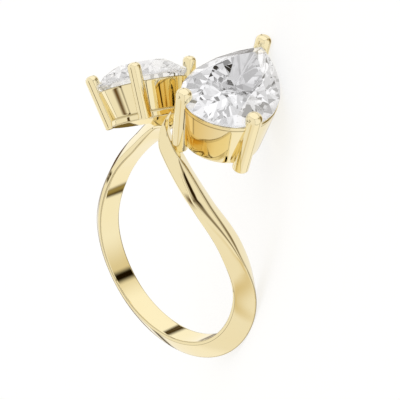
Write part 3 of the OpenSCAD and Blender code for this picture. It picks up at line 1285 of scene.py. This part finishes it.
@dataclass
class Studio:
    """A white floor, the surround that the ring mirrors, and the camera of the photograph.

    The camera is given on the upright ring: its compass angle from the front, its height
    angle, its roll, its distance and its slide across the view, all in degrees and
    millimetres, and the ring's size in the picture as pixels for a millimetre.

    The floor's half width is in metres. The stones' surround is cells of grey: cell_scale is
    their scale, and cell_tones has the share at which each grey starts, and the grey.
    """

    compass: float = 47.956
    height: float = 26.851
    roll: float = 0.44
    distance: float = 200.0
    slide: tuple[float, float] = (2.21, 3.56)
    scale: float = 11.977
    picture: int = 400
    sensor: float = 36.0
    floor_half: float = 3.0
    floor_colour: Colour = (0.3, 0.3, 0.3, 1.0)
    floor_glow: float = 0.75
    backdrop: float = 1.1
    cell_scale: float = 3.4
    cell_tones: tuple[tuple[float, float], ...] = (
        (0.0, 0.03),
        (0.10, 0.34),
        (0.24, 0.62),
        (0.46, 0.84),
        (0.70, 1.04),
    )
    tent: Tent = Tent()
    metal_shades: tuple[Shade, ...] = (
        Shade(-95, -60, 0.80, 0.42, 0, (0.92, 0.88, 0.82), 0.3),
        Shade(45, 30, 0.50, 0.60, 0, (0.75, 0.66, 0.46), 1.0),
        Shade(45, 37, 0.26, 0.125, 0, (0.01, 0.005, 0.0)),
        Shade(50, -43, 0.15, 0.07, 0, (0.35, 0.27, 0.10), 1.0),
        Shade(-110.5, -21, 0.30, 0.115, 35, (0.12, 0.06, 0.01), 0.9),
        Shade(-101.5, -1, 0.11, 0.38, 31, (0.08, 0.045, 0.01), 0.4),
        Shade(-86, -47, 0.08, 0.42, 40, (0.74, 0.63, 0.42), 1.0),
        Shade(140, -32, 0.24, 0.18, 0, (0.18, 0.12, 0.03), 0.6),
        Shade(150, -18, 0.22, 0.17, 0, (0.10, 0.05, 0.01), 0.6),
        Shade(72, 2, 0.44, 0.75, 0, (0.22, 0.15, 0.04), 0.5),
    )

    def camera(self) -> None:
        """Places the camera and makes it the scene's."""
        axes = facing(self.compass, self.height)
        at = axes @ np.array([*self.slide, self.distance])
        data = bpy.data.cameras.new("photo_camera")
        data.sensor_fit = "HORIZONTAL"
        data.sensor_width = self.sensor
        data.lens = self.sensor * self.scale * self.distance / self.picture
        data.clip_start, data.clip_end = 0.01, 100.0
        camera = bpy.data.objects.new("photo_camera", data)
        matrix = np.eye(4)
        matrix[:3, :3] = REST.turn() @ axes @ turn_about("z", -self.roll)
        matrix[:3, 3] = REST.lay(at[None])[0]
        camera.matrix_world = Matrix(matrix.tolist())
        bpy.context.scene.collection.objects.link(camera)
        bpy.context.scene.camera = camera

    def floor(self) -> None:
        """A wide white floor that glows a little, so that contact shadows stay soft."""
        far = self.floor_half
        mesh = bpy.data.meshes.new("floor")
        corners = [(-far, -far, 0), (far, -far, 0), (far, far, 0), (-far, far, 0)]
        mesh.from_pydata(corners, [], [(0, 1, 2, 3)])
        floor = bpy.data.objects.new("floor", mesh)
        bpy.context.scene.collection.objects.link(floor)
        material, pen = new_material("floor_white")
        skin = pen.node(
            "BsdfPrincipled",
            {
                "Base Color": self.floor_colour,
                "Roughness": 0.9,
                "Specular IOR Level": 0.0,
                "Emission Color": (1.0, 1.0, 1.0, 1.0),
                "Emission Strength": self.floor_glow,
            },
        )
        pen.node("OutputMaterial", {"Surface": skin.outputs[0]})
        mesh.materials.append(material)
        floor.visible_glossy = floor.visible_transmission = False

    def tented(self, pen: Pen) -> Socket:
        """The tent's colour by direction.

        A direction's three parts are each divided by the distance to the panel on their side.
        The largest of them, m, names the panel. The next, s, nears it at a seam, and the
        smallest, t, nears it at a corner. The seam's darkness falls from 1 at s/m = 1 to 0 at
        s/m = 1 - thin - broad (t/m)^6, smoothed.

        Args:
            pen: the world's pen.

        Returns:
            The colour's socket.
        """
        tent, maths = self.tent, pen.maths
        values = {
            "Vector": pen.node("TexCoord").outputs["Generated"],
            "Rotation": tuple(Matrix(REST.turn().tolist()).to_euler()),
        }
        upright = pen.node("Mapping", values, vector_type="TEXTURE").outputs[0]
        parts = []
        for sign, sides in ((1, tent.ahead), (-1, tent.behind)):
            scaled = pen.vectors("MULTIPLY", upright, tuple(sign / side for side in sides))
            ahead = pen.vectors("MAXIMUM", scaled)
            parts.append(list(pen.node("SeparateXYZ", {0: ahead}).outputs))
        x, y, z = (maths("MAXIMUM", a, b) for a, b in zip(*parts))
        most = maths("MAXIMUM", maths("MAXIMUM", x, y), z)
        least = maths("MINIMUM", maths("MINIMUM", x, y), z)
        rest = maths("SUBTRACT", maths("ADD", maths("ADD", x, y), z), maths("ADD", most, least))
        edge, corner = maths("DIVIDE", rest, most), maths("DIVIDE", least, most)
        sides = [side for pair in zip(*parts) for side in pair]
        colour = (*tent.panels[0], 1.0)
        for side, panel in zip(sides[1:], tent.panels[1:]):
            colour = pen.mix(maths("COMPARE", side, most, tent.TIE), colour, (*panel, 1.0))
        width = maths("MULTIPLY_ADD", maths("POWER", corner, 6.0), tent.broad, tent.thin)
        across = maths("DIVIDE", maths("SUBTRACT", 1.0, edge), width)
        dark = pen.spread(across, (0.0, 1.0), (1.0, 0.0), "SMOOTHSTEP")
        return pen.mix(dark, colour, (*tent.seam, 1.0))

    def shaded(self, pen: Pen, colour: Socket) -> Socket:
        """The metal's surround by direction, with its soft patches.

        A patch is an ellipsoid set on the sphere of directions. It shows by how far inside
        it a direction's point lies, smoothed.

        Args:
            pen: the world's pen.
            colour: the colour without them.

        Returns:
            The colour's socket.
        """
        where = pen.node("TexCoord").outputs["Generated"]
        for shade in self.metal_shades:
            axes = shade.axes()
            values = {
                "Vector": where,
                "Location": tuple(axes[:, 2]),
                "Rotation": tuple(Matrix(axes.tolist()).to_euler()),
                "Scale": (shade.across, shade.along, 1.0),
            }
            spot = pen.node("Mapping", values, vector_type="TEXTURE").outputs[0]
            ball = pen.node("TexGradient", {"Vector": spot}, gradient_type="SPHERICAL")
            inside = (0.0, shade.soft), (0.0, 1.0)
            amount = pen.spread(ball.outputs["Fac"], *inside, "SMOOTHSTEP")
            colour = pen.mix(amount, colour, (*shade.colour, 1.0))
        return colour

    def sparkle(self, pen: Pen) -> Socket:
        """The stones' own surround: cells of light and grey, like lamps and the gaps between.

        Args:
            pen: the world's pen.

        Returns:
            The colour's socket.
        """
        where = pen.node("TexCoord").outputs["Generated"]
        cells = pen.node("TexVoronoi", {"Vector": where, "Scale": self.cell_scale})
        split = pen.node("SeparateColor", {0: cells.outputs["Color"]})
        tones = pen.node("ValToRGB", {0: split.outputs[0]})
        ramp = tones.color_ramp
        ramp.interpolation = "CONSTANT"
        while len(ramp.elements) < len(self.cell_tones):
            ramp.elements.new(0.5)
        for element, (place, grey) in zip(ramp.elements, self.cell_tones):
            element.position = place
            element.color = (grey, grey, 1.02 * grey, 1.0)
        return tones.outputs["Color"]

    def surround(self) -> None:
        """The light: a tent with soft patches for the metal to mirror.

        Rays that have passed through a stone meet cells of light and grey instead, and the
        camera sees plain white.
        """
        world = bpy.data.worlds.new("studio")
        world.use_nodes = True
        bpy.context.scene.world = world
        pen = Pen(world.node_tree)
        metal, stones, seen = (
            pen.node("Background", {"Color": colour, "Strength": strength}).outputs[0]
            for colour, strength in (
                (self.shaded(pen, self.tented(pen)), 1.0),
                (self.sparkle(pen), 1.0),
                ((1.0, 1.0, 1.0, 1.0), self.backdrop),
            )
        )
        ray = pen.node("LightPath")
        within = pen.maths("GREATER_THAN", ray.outputs["Transmission Depth"], 0.5)
        light = pen.either(within, metal, stones)
        both = pen.either(ray.outputs["Is Camera Ray"], light, seen)
        pen.node("OutputWorld", {"Surface": both})

    def set_up(self) -> None:
        """Camera, floor, light and plain colour handling."""
        self.camera()
        self.floor()
        self.surround()
        bpy.context.scene.view_settings.view_transform = "Standard"


def dress(piece: bpy.types.Object, material: bpy.types.Material, node: str, slot: str) -> None:
    """Gives a piece its material and its body, and hides the CAD node that it replaces.

    Args:
        piece: the new object.
        material: its finish.
        node: the CAD node that it replaces.
        slot: the record's material slot. Not used.
    """
    piece.data.materials.append(material)
    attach(piece, BODY)
    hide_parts(node)
    mesh = piece.data
    log.info("%s: %d points, %d faces", piece.name, len(mesh.vertices), len(mesh.polygons))


def main() -> None:
    """Builds the ring, piece by piece, and then the studio."""
    logging.basicConfig(level=logging.INFO, format="%(name)s: %(message)s")
    gold = gold_material("polished_gold", GoldFinish())
    greyer = diamond_material("round_clear", DiamondFinish((0.79, 0.77, 0.72, 1.0)))
    clear = diamond_material("pear_clear", DiamondFinish())
    round_setting, pear_setting = RoundSetting(), PearSetting()
    for name, skin in (
        ("band", Band().skin()),
        ("round_wall", round_setting.placed(round_setting.wall())),
        ("round_prongs", round_setting.placed(round_setting.prongs())),
        ("pear_wall", pear_setting.placed(pear_setting.wall())),
        ("pear_prongs", pear_setting.placed(pear_setting.prongs())),
    ):
        piece = make_piece(name, skin)
        piece.visible_transmission = False
        dress(piece, gold, "ring_metal", "gold")
    for name, setting, finish, node, slot in (
        ("round_brilliant", round_setting, greyer, "round_stone", "round_diamond"),
        ("pear_brilliant", pear_setting, clear, "pear_stone", "pear_diamond"),
    ):
        skin = setting.placed(setting.stone.skin())
        dress(make_piece(name, skin, smooth=False), finish, node, slot)
    Studio().set_up()


if __name__ == "__main__":
    main()
